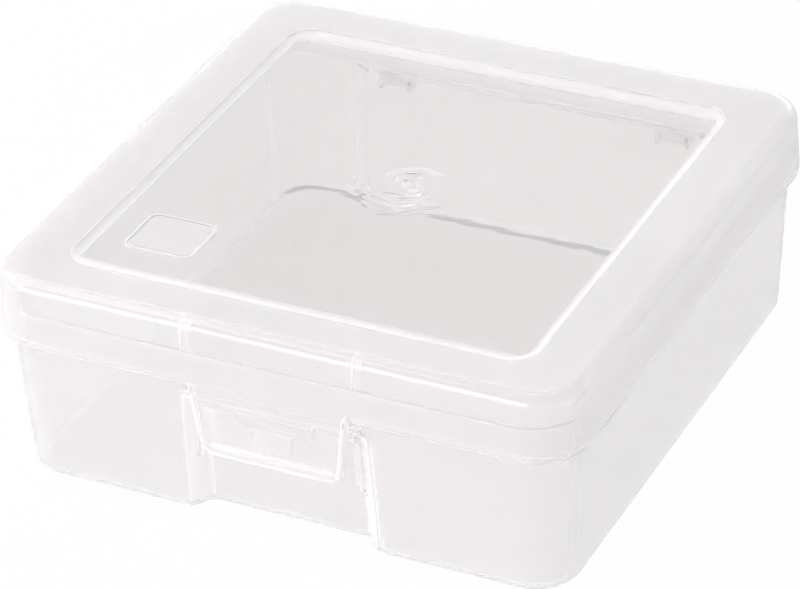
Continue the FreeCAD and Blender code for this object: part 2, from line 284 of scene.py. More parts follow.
def closed_skin(name, rings):
    """A closed mesh through a stack of rings, capped at both ends."""
    mesh = bpy.data.meshes.new(name)
    work = bmesh.new()
    rows = [[work.verts.new((p.x * MM, (p.y + CENTRE_Y) * MM, p.z * MM)) for p in ring] for ring in rings]
    for low, high in zip(rows, rows[1:]):
        for i in range(len(low)):
            j = (i + 1) % len(low)
            work.faces.new((low[i], low[j], high[j], high[i]))
    work.faces.new(list(reversed(rows[0])))
    work.faces.new(rows[-1])
    bmesh.ops.remove_doubles(work, verts=work.verts, dist=2 * SAME_POINT)
    bmesh.ops.dissolve_degenerate(work, edges=work.edges, dist=SAME_POINT)
    bmesh.ops.recalc_face_normals(work, faces=work.faces)
    work.to_mesh(mesh)
    work.free()
    piece = bpy.data.objects.new(name, mesh)
    bpy.context.scene.collection.objects.link(piece)
    open_edges = sum(1 for e in mesh.edges if e.is_loose)
    print(name, len(mesh.polygons), "faces,", open_edges, "loose edges")
    return piece


# %% [markdown]
# ## Soft steps
# A mould has no knife edges: where a wall steps in or out it turns twice, through two small quarter
# circles. `soft_step` lists those turns once, as height against share of the way across.

# %% Soft steps and quarter rounds
def quarter(count):
    return [math.pi / 2 * k / count for k in range(count + 1)]


def soft_step(height, travel, radius, count=3):
    """(z, share) pairs for a wall that goes up, turns across by travel, and goes up again."""
    first = [(height - radius + radius * math.sin(a), (radius - radius * math.cos(a)) / travel)
             for a in quarter(count)]
    second = [(height + radius - radius * math.cos(a), 1 - (radius - radius * math.sin(a)) / travel)
              for a in quarter(count)]
    return first + second


print("a step of 2 mm:", [(round(z, 2), round(s, 2)) for z, s in soft_step(0, 2, 0.4)])

# %% [markdown]
# ## The lid
# The lid is a shallow tray turned over: a skirt, a rolled top edge, a flat border, and a window sunk by
# a little more than a millimetre. One profile runs from the middle of the pane over the border, down the
# skirt, round its lip and back up inside, and each of its points becomes one outline. Booleans on a block
# would give the same form, but with ragged faces at the rounds, and a see-through skin shows them at once.

# %% The window and its ramp
LID_STEPS = [14] * 4
LIP_ROUND = 0.3
# Crown, knee and foot of the ramp round the pane, as shares of its width
RAMP_SHAPE = (0.22, 0.5, 0.3)
# The share of its depth that the ramp has fallen at the knee, and where its hollow runs out
KNEE_DROP, RUN_OUT = 0.78, 1.06
lid_plan = rectangle(LID_X, -LID_Y, LID_Y, LID_CORNER)


def window_ring(share, z):
    """The window's outline, from its top edge at share 0 to the pane's edge at share 1."""
    half_x, front, rear, radius = (mix(a, b, share) for a, b in zip(WINDOW, PANE_PLAN))
    return rounded(rectangle(half_x, front, rear, radius), z, LID_STEPS)


def ramp_points(crown, knee, foot):
    """(share, drop) pairs: a crowned edge, a short steep fall, then a long hollow that runs out on the pane."""
    steep, count = KNEE_DROP / knee, 5
    points = []
    for k in range(count + 1):
        s = crown * k / count
        points.append((s - crown / 2, steep * s * s / (2 * crown)))
    fall = [(knee - foot * 0.1, steep * (knee - foot * 0.1))]
    s0, d0 = fall[0]
    length = RUN_OUT - s0
    power = steep * length / (1 - d0)
    hollow = [(s0 + length * k / 8, d0 + (1 - d0) * (1 - (1 - k / 8) ** power)) for k in range(1, 9)]
    return points + fall + hollow


print("ramp", RAMP_SIDE, "mm wide at the sides,", RAMP_END, "mm at front and rear")

# %% Build the lid's skin
def lid_rings():
    rings = []

    def add(plan, inset, z):
        rings.append(rounded(shrink(plan, inset), z, LID_STEPS))

    # Pane, ramp and border, seen from above
    for share, drop in reversed(ramp_points(*RAMP_SHAPE)):
        rings.append(window_ring(share, TOP - WINDOW_DEPTH * drop))
    # Rolled top edge and the skirt's outside
    add(lid_plan, LID_DRAFT + TOP_ROUND + 1.2, TOP)
    for angle in quarter(16):
        add(lid_plan, LID_DRAFT + TOP_ROUND * (1 - math.sin(angle)), TOP - TOP_ROUND * (1 - math.cos(angle)))
    add(lid_plan, LID_DRAFT * 0.9, TOP - TOP_ROUND - 1.6)
    # The lip stands back a little from the skirt
    for inset, z in ((0.02, LIP + 0.5), (0.0, LIP + 0.12), (0.1, LIP), (LIP_INSET - 0.08, LIP),
                     (LIP_INSET, LIP - 0.12), (LIP_INSET, SKIRT + LIP_ROUND)):
        add(lid_plan, inset, z)
    for angle in quarter(3)[1:]:
        add(lid_plan, LIP_INSET + LIP_ROUND * (1 - math.cos(angle)),
            SKIRT + LIP_ROUND - LIP_ROUND * math.sin(angle))
    for angle in quarter(3):
        add(lid_plan, LID_WALL - LIP_ROUND * (1 - math.sin(angle)), SKIRT + LIP_ROUND * (1 - math.cos(angle)))
    # Inside of the skirt and the underside of border, ramp and pane
    inner_round = TOP_ROUND - LID_WALL
    under = TOP - LID_WALL
    add(lid_plan, LID_WALL + LID_DRAFT * 0.9, under - inner_round - 1.0)
    for angle in reversed(quarter(8)):
        add(lid_plan, LID_WALL + LID_DRAFT + inner_round * (1 - math.sin(angle)),
            under - inner_round * (1 - math.cos(angle)))
    for share, drop in ramp_points(*RAMP_SHAPE):
        rings.append(window_ring(share, under - WINDOW_DEPTH * drop))
    return rings


lid = closed_skin("lid_moulding", lid_rings())
for finish in (eroded, polished, end_on, lump):
    lid.data.materials.append(finish)

# %% [markdown]
# ## The tub
# The tub's outline changes with height: a bay for the hinges is let into the rear wall, and a finger
# alcove into the front one, shallow and wide at the top with a deeper pocket below. The eight corners on
# each side are always there. Where a recess ends, its corners slide out to the wall over a soft step, so
# the wall stays equally thick round it. A recess cut out afterwards would need its wall built again inside.

# %% The tub's outline at a height
TUB_STEPS_SIDE = [4, 4, 2, 5, 12, 12, 4, 4]
TUB_STEPS = TUB_STEPS_SIDE + TUB_STEPS_SIDE[::-1]
# How far the tub stands back from the lid's outline, at the floor, the skirt's edge and the rim
STAND_FLOOR, STAND_SKIRT, STAND_RIM = 4.75, 2.45, 2.3
# Pairs are for the floor and the rim, because a mould's walls open upwards
TUB_CORNER = (12.1, 13.8)
ALCOVE_HALF, ALCOVE_DEPTH = (24.6, 23.5), 2.2
POCKET_HALF, POCKET_DEPTH = 21.5, 5.2
BAY_HALF, BAY_BACK_HALF, BAY_DEPTH = 55.8, 50.8, 2.0
RECESS_ROUND, STEP_ROUND, RIM_ROUND = 3.3, 0.45, 0.35
# At its top the alcove's sides draw in by the crown, over a round of their own
CROWN, CROWN_ROUND = 1.4, 2.6


def tub_outline(z, inset, shoulder, pocket, alcove, bay, crown):
    """Outline at a height. The shares say how far each recess has slid out, 0 is fully let in."""
    rise = (z - FOOT) / (SKIRT - FOOT)
    stand = mix(STAND_FLOOR, STAND_SKIRT, rise)
    if z >= SKIRT:
        stand = mix(STAND_SKIRT, STAND_RIM, (z - SKIRT) / (RIM - SKIRT))
    x, front, rear = LID_X - stand, stand - LID_Y, LID_Y - stand
    corner = mix(*TUB_CORNER, (z - FOOT) / (RIM - FOOT))
    side = mix(*ALCOVE_HALF, (z - FOOT) / (RIM - FOOT)) - crown
    open_share = 1 - alcove
    step = front + ALCOVE_DEPTH * open_share
    back = mix(front + POCKET_DEPTH, step, pocket)
    pocket_front_x = mix(side, POCKET_HALF, shoulder) + 0.4 * pocket
    pocket_back_x = mix(side - 1.3, POCKET_HALF, shoulder)
    slide = mix(ALCOVE_DEPTH, 0.3, alcove)
    along = mix(0.25, 0.0, shoulder)
    step_x = side + ALCOVE_DEPTH * along * open_share
    step_y = step - ALCOVE_DEPTH * along * open_share
    plan = [
        (pocket_back_x, back, 2.0 * (1 - pocket)),
        (pocket_front_x, step, mix(2.6, 1.6, shoulder) * (1 - pocket)),
        (step_x, step_y, mix(0.0, 1.0, shoulder) * open_share),
        (side + slide, front, RECESS_ROUND * open_share),
        (x, front, corner),
        (x, rear, corner),
        (BAY_HALF, rear, RECESS_ROUND * (1 - bay)),
        (BAY_BACK_HALF, rear - BAY_DEPTH * (1 - bay), RECESS_ROUND * (1 - bay)),
    ]
    plan += [(-px, py, radius) for px, py, radius in reversed(plan)]
    return rounded(shrink(plan, inset), z, TUB_STEPS)


print("alcove", 2 * ALCOVE_HALF[0], "mm, pocket", 2 * POCKET_HALF, "mm, bay", 2 * BAY_HALF, "mm wide")

# %% Build the tub's skin
def tub_wall(inset, top):
    """Outlines from the floor's edge to the rim, for the outside or, with the wall as inset, the inside."""
    floor = FOOT + inset
    edge = FLOOR_ROUND - inset
    rows = [(floor + edge * (1 - math.cos(a)), inset + edge * (1 - math.sin(a)), 0, 0, 0, 0, 0)
            for a in quarter(8)]
    rows.append((SHOULDER + inset - 1.5, inset, 0, 0, 0, 0, 0))
    rows += [(z, inset, s, 0, 0, 0, 0) for z, s in soft_step(SHOULDER + inset, 2.7, STEP_ROUND)]
    rows += [(z, inset, 1, s, 0, 0, 0) for z, s in soft_step(POCKET + inset, 3.0, STEP_ROUND)]
    crown_from = ALCOVE + inset - CROWN_ROUND
    for angle in quarter(5)[1:-1]:
        rows.append((crown_from + CROWN_ROUND * math.sin(angle) * 0.8, inset, 1, 1, 0, 0,
                     CROWN * (1 - math.cos(angle))))
    rows += [(z, inset, 1, 1, s, 0, CROWN) for z, s in soft_step(ALCOVE + inset, ALCOVE_DEPTH, STEP_ROUND)]
    rows += [(z, inset, 1, 1, 1, s, CROWN) for z, s in soft_step(SKIRT + inset, BAY_DEPTH, STEP_ROUND)]
    rows.append((top, inset, 1, 1, 1, 1, CROWN))
    return [tub_outline(*row) for row in rows]


def tub_rings():
    outside = tub_wall(0.0, RIM - RIM_ROUND)
    inside = tub_wall(TUB_WALL, RIM - RIM_ROUND)
    outer = [(RIM_ROUND * (1 - math.cos(a)), RIM_ROUND * (1 - math.sin(a))) for a in quarter(4)[1:]]
    inner = [(TUB_WALL - RIM_ROUND * (1 - math.sin(a)), RIM_ROUND * (1 - math.cos(a)))
             for a in quarter(4)[:-1]]
    rim = [tub_outline(RIM - drop, inset, 1, 1, 1, 1, CROWN) for inset, drop in outer + inner]
    return outside + rim + inside[::-1]


tub = closed_skin("tub_moulding", tub_rings())
for finish in (frosted, stoned, end_on, lump, painted_shade_turn):
    tub.data.materials.append(finish)

# %% [markdown]
# ## Ribs, ears and knuckles
# The small standing parts are all plates of one thickness, repeated across the case: two gussets beside
# the latch, the ears that hold the hinge pins, and the knuckles that turn on them. Geometry Nodes makes
# such a row from one flat profile, so thickness, spacing and count stay numbers that can be changed.

# %% The tree that repeats a plate
def row_tree():
    tree = bpy.data.node_groups.new("row_of_plates", "GeometryNodeTree")
    face = tree.interface
    face.new_socket("Profile", in_out="INPUT", socket_type="NodeSocketGeometry")
    for label, kind in (("Thickness", "NodeSocketFloat"), ("Spacing", "NodeSocketFloat"),
                        ("Count", "NodeSocketInt"), ("Material", "NodeSocketMaterial")):
        face.new_socket(label, in_out="INPUT", socket_type=kind)
    face.new_socket("Plates", in_out="OUTPUT", socket_type="NodeSocketGeometry")
    given = tree.nodes.new("NodeGroupInput").outputs
    thick = add_node(tree, "GeometryNodeExtrudeMesh", {"mode": "FACES"}, Mesh=given["Profile"],
                     Offset_Scale=given["Thickness"], Individual=False)
    back = add_node(tree, "GeometryNodeFlipFaces", Mesh=given["Profile"])
    both = tree.nodes.new("GeometryNodeJoinGeometry")
    tree.links.new(thick.outputs["Mesh"], both.inputs[0])
    tree.links.new(back.outputs[0], both.inputs[0])
    closed = add_node(tree, "GeometryNodeMergeByDistance", Geometry=both.outputs[0], Distance=SAME_POINT)
    half = add_node(tree, "ShaderNodeMath", {"operation": "MULTIPLY"}, _0=given["Thickness"], _1=-0.5)
    middle = add_node(tree, "ShaderNodeCombineXYZ", X=half.outputs[0])
    plate = add_node(tree, "GeometryNodeTransform", Geometry=closed.outputs[0], Translation=middle.outputs[0])
    gaps = add_node(tree, "ShaderNodeMath", {"operation": "SUBTRACT"}, _0=given["Count"], _1=1.0)
    length = add_node(tree, "ShaderNodeMath", {"operation": "MULTIPLY"}, _0=gaps.outputs[0],
                      _1=given["Spacing"])
    start = add_node(tree, "ShaderNodeMath", {"operation": "MULTIPLY"}, _0=length.outputs[0], _1=-0.5)
    first = add_node(tree, "ShaderNodeCombineXYZ", X=start.outputs[0])
    pitch = add_node(tree, "ShaderNodeCombineXYZ", X=given["Spacing"])
    line = add_node(tree, "GeometryNodeMeshLine", Count=given["Count"], Start_Location=first.outputs[0],
                    Offset=pitch.outputs[0])
    placed = add_node(tree, "GeometryNodeInstanceOnPoints", Points=line.outputs[0], Instance=plate.outputs[0])
    real = add_node(tree, "GeometryNodeRealizeInstances", Geometry=placed.outputs[0])
    painted = add_node(tree, "GeometryNodeSetMaterial", Geometry=real.outputs[0], Material=given["Material"])
    out = tree.nodes.new("NodeGroupOutput")
    tree.links.new(painted.outputs[0], out.inputs[0])
    return tree


def plain_mesh(piece):
    """Replaces a piece's mesh and modifiers by what they make."""
    bpy.context.view_layer.update()
    made = bpy.data.meshes.new_from_object(piece.evaluated_get(bpy.context.evaluated_depsgraph_get()))
    piece.modifiers.clear()
    piece.data = made
    return piece


def run_tree(piece, tree, **inputs):
    """Gives a piece a Geometry Nodes tree with these inputs, and keeps the plain mesh that it makes."""
    modifier = piece.modifiers.new(tree.name, "NODES")
    modifier.node_group = tree
    for item in tree.interface.items_tree:
        if item.in_out == "INPUT" and item.name in inputs:
            modifier[item.identifier] = inputs[item.name]
    return plain_mesh(piece)


rows_of_plates = row_tree()
print("tree", rows_of_plates.name, len(rows_of_plates.nodes), "nodes")

# %% [markdown]
# ## Joining and softening
# A moulding has no seam where a rib meets its wall, and in a see-through plastic a hidden seam would show.
# So every small part runs a little way into the wall that carries it, and an exact boolean joins the two.

# %% Rows of plates, softened edges and exact joins
def new_piece(name, mesh):
    piece = bpy.data.objects.new(name, mesh)
    bpy.context.scene.collection.objects.link(piece)
    return piece


def plates(name, profile, thickness, spacing, count, soft=0.25):
    """A row of plates square to X from a profile of (y, z) points in millimetres, in either direction."""
    area = sum(a[0] * b[1] - b[0] * a[1] for a, b in zip(profile, profile[1:] + profile[:1]))
    ordered = profile if area > 0 else profile[::-1]
    mesh = bpy.data.meshes.new(name)
    mesh.from_pydata([(0, (y + CENTRE_Y) * MM, z * MM) for y, z in ordered], [], [range(len(ordered))])
    piece = run_tree(new_piece(name, mesh), rows_of_plates, Thickness=thickness * MM,
                     Spacing=spacing * MM, Count=count)
    if soft:
        soften(piece, soft)
    print(name, count, "plates of", thickness, "mm")
    return piece


def soften(piece, width):
    bevel = piece.modifiers.new("soft_edges", "BEVEL")
    bevel.width = width * MM
    bevel.segments = 2
    bevel.limit_method = "ANGLE"
    bevel.angle_limit = math.radians(35)
    return plain_mesh(piece)


def join(host, *parts):
    for part in parts:
        union = host.modifiers.new("join", "BOOLEAN")
        union.operation = "UNION"
        union.solver = "EXACT"
        union.object = part
        plain_mesh(host)
        bpy.data.objects.remove(part)
    return host


def disc_points(centre, radius, start, end, count):
    """Points on an arc, angles in degrees from +y towards +z."""
    angles = [math.radians(mix(start, end, k / count)) for k in range(count + 1)]
    return [(centre[0] + radius * math.cos(a), centre[1] + radius * math.sin(a)) for a in angles]

# %% [markdown]
# ## The latch tab
# The tab is the front wall's only moving part, a tongue that grows out of the skirt. A raised bead runs
# down both sides, and at the bottom it widens to a shelf for the fingertip. It is a small moulding of its
# own kind of contour lines: rings that shrink inwards over its face, each with its own depth.

# %% Build the latch tab
def smooth_share(value, low, high):
    share = min(max((value - low) / (high - low), 0.0), 1.0)
    return share * share * (3 - 2 * share)


TAB_TOP = LIP + 1.6
tab_low_half = TAB_HALF - TAB_TAPER
tab_face = [(tab_low_half, TAB_BOTTOM, 2.6), (TAB_HALF + 0.4, TAB_TOP, 0.05),
            (-TAB_HALF - 0.4, TAB_TOP, 0.05), (-tab_low_half, TAB_BOTTOM, 2.6)]
SIDE_PROUD, GRIP_PROUD, BEAD = 0.7, 2.0, 1.3


def tab_middle(z):
    """The tab's mid plane: straight under the skirt, then leaning in."""
    hang = max(0.0, SKIRT - z)
    return TAB_AXIS_Y + 0.041 * max(0.0, z - LIP) + math.tan(TAB_LEAN) * hang * hang / (hang + 0.8)


def with_long_edges_split(ring, long_edges, count):
    fine = []
    for i, p in enumerate(ring):
        fine.append(p)
        if i in long_edges:
            fine += [p.lerp(ring[(i + 1) % len(ring)], k / count) for k in range(1, count)]
    return fine


def tab_rings():
    half = LID_WALL / 2
    steps = [8, 1, 1, 8]
    # inset over the face, share of the bead's stand, depth in millimetres
    profile = [(1.2, 0, half), (0.28, 0, half), (0.08, 0, half - 0.08), (0.0, 0, half - 0.28),
               (0.0, 1, -half + 0.28), (0.08, 1, -half + 0.08), (0.28, 1, -half),
               (BEAD - 0.28, 1, -half), (BEAD - 0.06, 1, -half + 0.1), (BEAD, 0.85, -half),
               (BEAD + 0.06, 0.12, -half), (BEAD + 0.35, 0, -half), (BEAD + 1.5, 0, -half)]
    outer = rounded(tab_face, 0, steps)
    long_edges = [i for i, p in enumerate(outer) if (p - outer[(i + 1) % len(outer)]).length > 6]
    outer = with_long_edges_split(outer, long_edges, 16)
    rings = []
    for inset, share, depth in profile:
        inner = with_long_edges_split(rounded(shrink(tab_face, inset), 0, steps), long_edges, 16)
        ring = []
        for p, q in zip(outer, inner):
            side = 1 - smooth_share(p.y, SKIRT - 2.0, LIP - 0.4)
            grip = ((1 - smooth_share(abs(p.x), 16.6, 18.4))
                    * (1 - smooth_share(p.y, TAB_BOTTOM + 2, TAB_BOTTOM + 4)))
            proud = SIDE_PROUD * side + (GRIP_PROUD - SIDE_PROUD) * grip
            ring.append(Vector((q.x, tab_middle(q.y) + depth - share * proud, q.y)))
        rings.append(ring)
    return rings


tab = closed_skin("tab", tab_rings())
hook = plates("hook", [(-82.3, 33.72), (-82.3, 28.3), (-81.32, 27.86), (-79.17, 32.68), (-79.23, 33.87)],
              11.0, 0.0, 1, soft=0.2)

# %% Build the lid's gussets and knuckles
gussets = plates("gussets", [(-82.5, 52.9), (-79.9, 52.9), (-76.1, 62.0), (-79.0, 62.0), (-81.2, 61.1),
                             (-82.1, 58.9)], 1.7, 48.0, 2, soft=0.2)
PIN = (LID_Y - 1.2, SKIRT - 2.6)
KNUCKLE_RADIUS, BORE_RADIUS, EAR_RADIUS = 2.15, 1.05, 1.9
# Round the knuckle, over the root that joins it to the skirt, and back inside through the bore
knuckle_profile = (disc_points(PIN, KNUCKLE_RADIUS, 236.8, 426.7, 20) + [(83.15, 44.3), (82.15, 44.3)]
                   + disc_points(PIN, KNUCKLE_RADIUS, 95.3, 193.2, 10)
                   + disc_points(PIN, BORE_RADIUS, 165.4, -95.4, 20))
knuckles = plates("knuckles", knuckle_profile, 7.0, 84.6, 2, soft=0.15)

# %% [markdown]
# ## Marks on the pane
# The plastic enters the mould at the middle of the pane and leaves a small round scar there. A bare pad
# with a low rim sits in the front left corner. Both are lathed or stacked forms joined to the pane.

# %% Build the gate's scar and the bare pad
def lathe_rings(profile, x, y, count=28):
    return [[Vector((x + r * math.cos(2 * math.pi * k / count), y + r * math.sin(2 * math.pi * k / count), z))
             for k in range(count)] for r, z in profile]


# Pairs of radius or inset and height over the pane
gate_profile = [(1.9, -0.5), (1.9, -0.02), (1.6, 0.06), (1.3, 0.2), (1.0, 0.24), (0.75, 0.16), (0.4, 0.08)]
gate = closed_skin("gate", lathe_rings([(r, PANE + z) for r, z in gate_profile], 0, 0))
pad_plan = [(-35.3, -55.7, 3.4), (-35.3, -37.5, 3.4), (-55.7, -37.5, 3.4), (-55.7, -55.7, 3.4)]
pad_profile = [(0.0, -0.5), (0.0, 0.1), (0.1, 0.24), (0.25, 0.3), (0.75, 0.3), (0.9, 0.24), (1.05, 0.1),
               (1.3, 0.07)]
pad = closed_skin("pad", [rounded(shrink(pad_plan, inset), PANE + z, [8] * 4) for inset, z in pad_profile])

# %% Join the lid's moulding
join(lid, tab, hook, gussets, knuckles, gate, pad)
print("lid", len(lid.data.polygons), "faces")

# %% [markdown]
# ## The tub's small parts
# A bar on the alcove's face catches the latch hook. Four low L-shaped feet under the floor drop into the
# window of a case below, so that cases stack. The feet follow a bent path: Geometry Nodes rounds the
# path's corner, sweeps a rectangle along it and sets one foot at each corner of the ring.

# %% The tree that sets the feet
def feet_tree():
    tree = bpy.data.node_groups.new("corner_feet", "GeometryNodeTree")
    face = tree.interface
    face.new_socket("Path", in_out="INPUT", socket_type="NodeSocketGeometry")
    for label in ("Bend", "Thickness", "Height", "Span X", "Span Y"):
        face.new_socket(label, in_out="INPUT", socket_type="NodeSocketFloat")
    face.new_socket("Material", in_out="INPUT", socket_type="NodeSocketMaterial")
    face.new_socket("Feet", in_out="OUTPUT", socket_type="NodeSocketGeometry")
    given = tree.nodes.new("NodeGroupInput").outputs
    path = add_node(tree, "GeometryNodeMeshToCurve", Mesh=given["Path"])
    bent = add_node(tree, "GeometryNodeFilletCurve", Curve=path.outputs[0], Radius=given["Bend"])
    if "Mode" in bent.inputs:
        bent.inputs["Mode"].default_value = "Poly"
    else:
        bent.mode = "POLY"
    bent.inputs["Count"].default_value = 8
    level = add_node(tree, "GeometryNodeSetCurveNormal", {"mode": "Z_UP"}, Curve=bent.outputs[0])
    section = add_node(tree, "GeometryNodeCurvePrimitiveQuadrilateral", Width=given["Thickness"],
                       Height=given["Height"])
    swept = add_node(tree, "GeometryNodeCurveToMesh", Curve=level.outputs[0], Profile_Curve=section.outputs[0])
    swept.inputs["Fill Caps"].default_value = True
    grid = add_node(tree, "GeometryNodeMeshGrid", Size_X=given["Span X"], Size_Y=given["Span Y"],
                    Vertices_X=2, Vertices_Y=2)
    where = tree.nodes.new("GeometryNodeInputPosition")
    parts = add_node(tree, "ShaderNodeSeparateXYZ", _0=where.outputs[0])
    angle = add_node(tree, "ShaderNodeMath", {"operation": "ARCTAN2"}, _0=parts.outputs["Y"],
                     _1=parts.outputs["X"])
    square = add_node(tree, "ShaderNodeMath", {"operation": "SNAP"}, _0=angle.outputs[0], _1=math.pi / 2)
    spin = add_node(tree, "ShaderNodeCombineXYZ", Z=square.outputs[0])
    placed = add_node(tree, "GeometryNodeInstanceOnPoints", Points=grid.outputs[0], Instance=swept.outputs[0],
                      Rotation=spin.outputs[0])
    real = add_node(tree, "GeometryNodeRealizeInstances", Geometry=placed.outputs[0])
    painted = add_node(tree, "GeometryNodeSetMaterial", Geometry=real.outputs[0], Material=given["Material"])
    out = tree.nodes.new("NodeGroupOutput")
    tree.links.new(painted.outputs[0], out.inputs[0])
    return tree


corner_feet = feet_tree()
print("tree", corner_feet.name, len(corner_feet.nodes), "nodes")

# %% Build the feet, the ledge and the hinge ears
FOOT_SINK = 0.5
foot_high = FOOT + FOOT_SINK
path = bpy.data.meshes.new("feet")
foot_line = ((-12, -0.7), (-0.7, -0.7), (-0.7, -12))
path.from_pydata([(x * MM, y * MM, 0) for x, y in foot_line], [(0, 1), (1, 2)], [])
foot_sizes = {"Bend": 3.4, "Thickness": 1.4, "Height": foot_high, "Span X": 124.1, "Span Y": 123.9}
feet = run_tree(new_piece("feet", path), corner_feet, **{name: mm * MM for name, mm in foot_sizes.items()})
feet.data.transform(Matrix.Translation((0, (CENTRE_Y - 1.4) * MM, foot_high / 2 * MM)))
print("feet box", [round(v / MM, 2) for v in feet.dimensions], len(feet.data.polygons), "faces")
# Its front face stands in the alcove, its rear in the tub's wall
ledge = plates("ledge", [(-80.83, 34.0), (-77.6, 34.0), (-77.6, 37.4), (-80.83, 37.4)], 22.0, 0.0, 1, soft=0.35)
ear_profile = [(78.3, 39.1)] + disc_points(PIN, EAR_RADIUS, -90, 90, 14) + [(78.3, 42.9)]
inner_ears = plates("inner_ears", ear_profile, 1.2, 75.8, 2, soft=0.15)
outer_ears = plates("outer_ears", ear_profile, 1.2, 93.4, 2, soft=0.15)

# %% Join the tub's moulding
join(tub, feet, ledge, inner_ears, outer_ears)
print("tub", len(tub.data.polygons), "faces")

# %% [markdown]
# ## A row of points where the tab bends
# The tab bends in the first two millimetres under the skirt. Flat plastic needs points there, or it would
# fold like paper, so the lid's mesh is sliced level a few times below its lip. Only the tab hangs there.

# %% Slice the tab's root and smooth both skins
def slice_level(piece, heights):
    work = bmesh.new()
    work.from_mesh(piece.data)
    for z in heights:
        near = [f for f in work.faces if f.calc_center_median().y < -70 * MM
                and min(v.co.z for v in f.verts) < z * MM]
        cut = list({g for f in near for g in (*f.verts, *f.edges)}) + near
        bmesh.ops.bisect_plane(work, geom=cut, plane_co=(0, 0, z * MM), plane_no=(0, 0, 1), dist=1e-7)
    work.to_mesh(piece.data)
    work.free()


def finish_skin(piece):
    work = bmesh.new()
    work.from_mesh(piece.data)
    bmesh.ops.remove_doubles(work, verts=work.verts, dist=SAME_POINT)
    bmesh.ops.dissolve_degenerate(work, edges=work.edges, dist=SAME_POINT)
    leaks = sum(1 for e in work.edges if not e.is_manifold)
    print(piece.name, "volume", round(work.calc_volume() * 1e6, 2), "cm3, leaking edges:", leaks)
    work.to_mesh(piece.data)
    work.free()
    piece.data.shade_smooth()
    piece.data.set_sharp_from_angle(angle=math.radians(32))
    weighted = piece.modifiers.new("flat_faces_stay_flat", "WEIGHTED_NORMAL")
    weighted.mode = "FACE_AREA"
    weighted.keep_sharp = True
    weighted.weight = 100


slice_level(lid, [SKIRT - 0.1 - 0.25 * k for k in range(8)])
finish_skin(lid)
finish_skin(tub)

# %% [markdown]
# ## Where each finish lies
# Both mouldings are one plastic, so nothing marks where one finish ends. The finishes go by place instead:
# once every part is joined, each face's middle says whether it is pane, ramp, gusset, hinge or wall.

# %% Give each face the finish of its place
WALL, SMOOTH, END_ON, THICK, PAINTED_SHADE = range(5)
pane_half, pane_front, pane_rear, _ = PANE_PLAN


def lid_finish(x, y, z, upright):
    """The finish of a face of the lid, from its middle and how far it looks up or down."""
    under_pane = PANE - LID_WALL - 0.1
    if y > 70 and z < SKIRT + 0.1:
        return THICK  # hinge knuckles
    if 23.0 < abs(x) < 25.0 and -82.4 < y < -76.0 and 53.0 < z < 62.0:
        return THICK  # gussets
    if z < TAB_BOTTOM + 2.0 and y < -82.5:
        return END_ON  # the latch tab's finger shelf
    if -56 < x < -35 and -56 < y < -37.2 and z > PANE - 0.2:
        return WALL  # the bare pad
    if abs(x) < pane_half and pane_front < y < pane_rear and under_pane < z < PANE + 0.4:
        return SMOOTH  # the pane
    if abs(x) < WINDOW[0] and WINDOW[1] < y < WINDOW[2] and z > under_pane:
        return SMOOTH if y > pane_rear and 0.95 < upright < 0.985 else END_ON  # the ramp round the pane
    return WALL


def tub_finish(x, y, z, normal_z):
    """The finish of a face of the tub, from its middle and its normal's height."""
    if y > 79.3 + CENTRE_Y and z < SKIRT and abs(x) < 50:
        return THICK  # hinge ears
    if y > 60 and FOOT + 0.22 < z < FOOT + 1.34 and -0.93 < normal_z < -0.5 and abs(x) < 76:
        # The outside of the rear floor turn takes the grey tint that paints its dark line: painted shade
        return PAINTED_SHADE  # the outside of the rear floor turn
    if z < FOOT - 0.05 or y > 60 and z < FOOT + FLOOR_ROUND and 0.05 < abs(normal_z) < 0.97:
        return SMOOTH  # feet, and the rest of the rear floor turn
    return WALL


def count_finishes(piece):
    used = [polygon.material_index for polygon in piece.data.polygons]
    print(piece.name, {slot.name: used.count(i) for i, slot in enumerate(piece.data.materials)})


for polygon in lid.data.polygons:
    x, y, z = (v / MM for v in polygon.center)
    polygon.material_index = lid_finish(x, y - CENTRE_Y, z, abs(polygon.normal.z))
for polygon in tub.data.polygons:
    x, y, z = (v / MM for v in polygon.center)
    polygon.material_index = tub_finish(x, y, z, polygon.normal.z)
for node in ("hinge_pin_left", "hinge_pin_right"):
    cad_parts[node].data.materials.clear()
    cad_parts[node].data.materials.append(lump)
count_finishes(lid)
count_finishes(tub)

# %% [markdown]
# ## White lines on the turns
# On the real case every edge is a soft white line, because there the eye looks along the plastic. A tight
# turn is a narrow face with a large angle over its long edges, so the angle for each millimetre of width
# finds the turns. A few places are named, where that measure is wrong.

# %% Mark the tight turns
TIGHT = 0.45
NARROW = 1.2


def bend(face):
    """How tightly the skin turns at a narrow face, in radians per millimetre."""
    longest = max(edge.calc_length() for edge in face.edges)
    width = face.calc_area() / longest / MM
    if width > NARROW:
        return 0.0
    long_edges = [e for e in face.edges if len(e.link_faces) == 2 and e.calc_length() > longest * 0.7]
    return max((e.calc_face_angle() for e in long_edges), default=0.0) / max(width, 0.05)


def seen_end_on(face):
    """True for a face on a tight turn, or in one of the places named here."""
    x, y, z = (v / MM for v in face.calc_center_median())
    tab_root = abs(x) < TAB_HALF + 0.4 and y < CENTRE_Y - 82.9 and LIP - 0.4 < z < LIP + 2.5
    foot = z < FOOT - 0.05
    hinge = y > 70 and z < SKIRT + 3
    if tab_root or foot or hinge:
        return False
    if z < FOOT + FLOOR_ROUND and abs(face.normal.z) < 0.95 and max(abs(x), abs(y)) < 83:
        return face.material_index == WALL and z < FOOT + 1.6 and y < 60
    alcove_side = 19.5 < abs(x) < 28.0 and y < -70.0 and z < SKIRT and abs(face.normal.x) > 0.3
    return alcove_side or bend(face) > TIGHT


